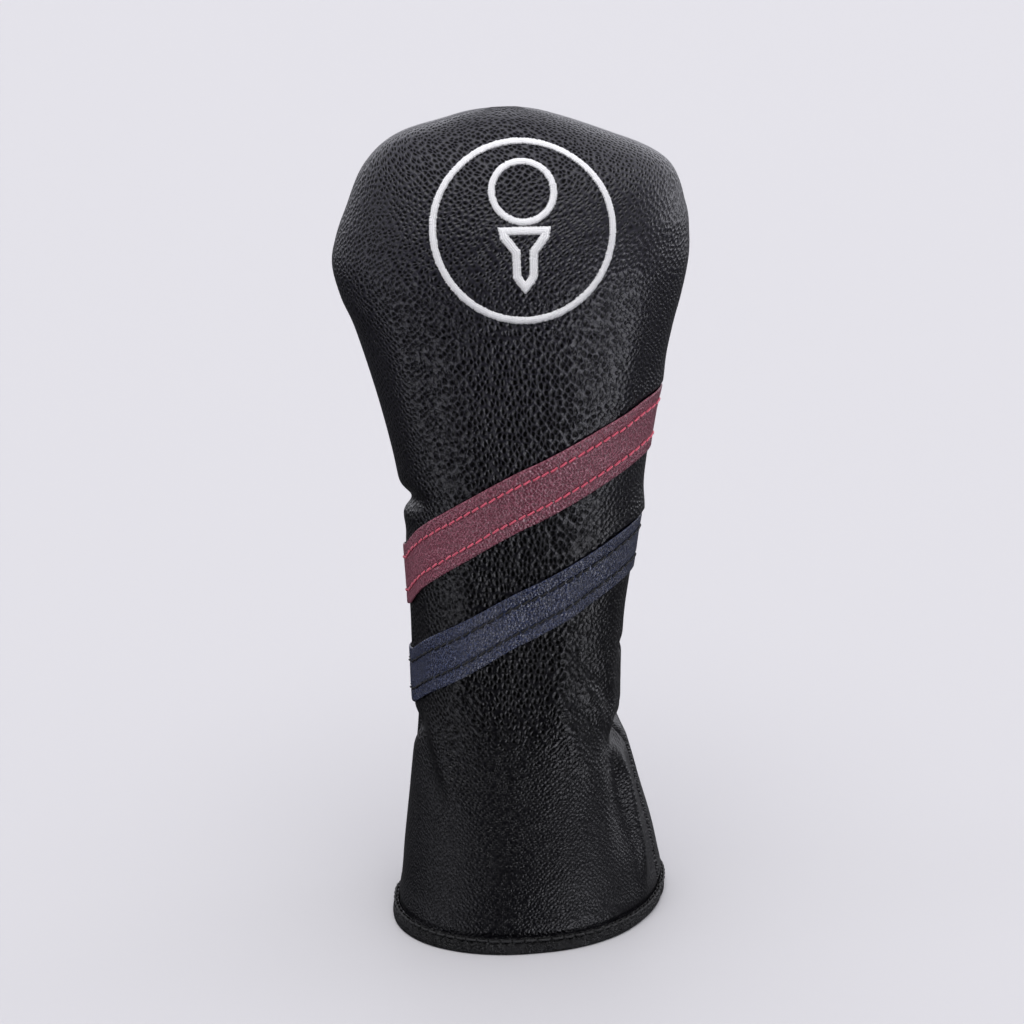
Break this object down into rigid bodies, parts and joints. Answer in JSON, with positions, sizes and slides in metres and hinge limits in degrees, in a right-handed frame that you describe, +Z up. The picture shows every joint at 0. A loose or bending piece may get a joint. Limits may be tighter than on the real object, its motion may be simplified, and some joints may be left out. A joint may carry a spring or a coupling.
{
  "type": "golf driver head cover",
  "caption": "Padded leather sock that slips over a golf driver's head: wide head, gathered elastic neck, flared bound mouth, slanted sewn stripes and an embroidered ring.",
  "frame": {"origin": "centre of the open mouth, on the plane that the mouth's binding stands on", "axes": "+Z up towards the crown, -Y the embroidered front, +X to the right of somebody who looks at the front"},
  "size_m": [0.1368, 0.1095, 0.325],
  "materials": {
    "black_leather": "pebbled, semi-matt",
    "binding_leather": "fine grain, crinkled",
    "red_leather": "fine grain, satin",
    "navy_leather": "fine grain, satin",
    "foam": "open-cell foam",
    "fleece": "short pile",
    "elastic": "woven elastic",
    "backing_cloth": "non-woven cloth",
    "black_thread": "twisted thread",
    "red_thread": "twisted thread",
    "white_embroidery": "satin stitch"
  },
  "bodies": {
    "root": {"front_panel": "black_leather", "back_panel": "black_leather", "front_foam": "foam", "back_foam": "foam", "front_lining": "fleece", "back_lining": "fleece", "neck_elastic": "elastic", "elastic_stitches": "black_thread", "mouth_binding": "binding_leather", "mouth_binding_stitches": "black_thread", "panel_seam_stitches": "black_thread", "red_stripe": "red_leather", "red_stitches_upper": "red_thread", "red_stitches_lower": "red_thread", "navy_stripe": "navy_leather", "navy_stitches_upper": "black_thread", "navy_stitches_lower": "black_thread", "emblem_ring": "white_embroidery", "emblem_ball": "white_embroidery", "emblem_tee": "white_embroidery", "emblem_backing": "backing_cloth"}
  },
  "joints": []
}
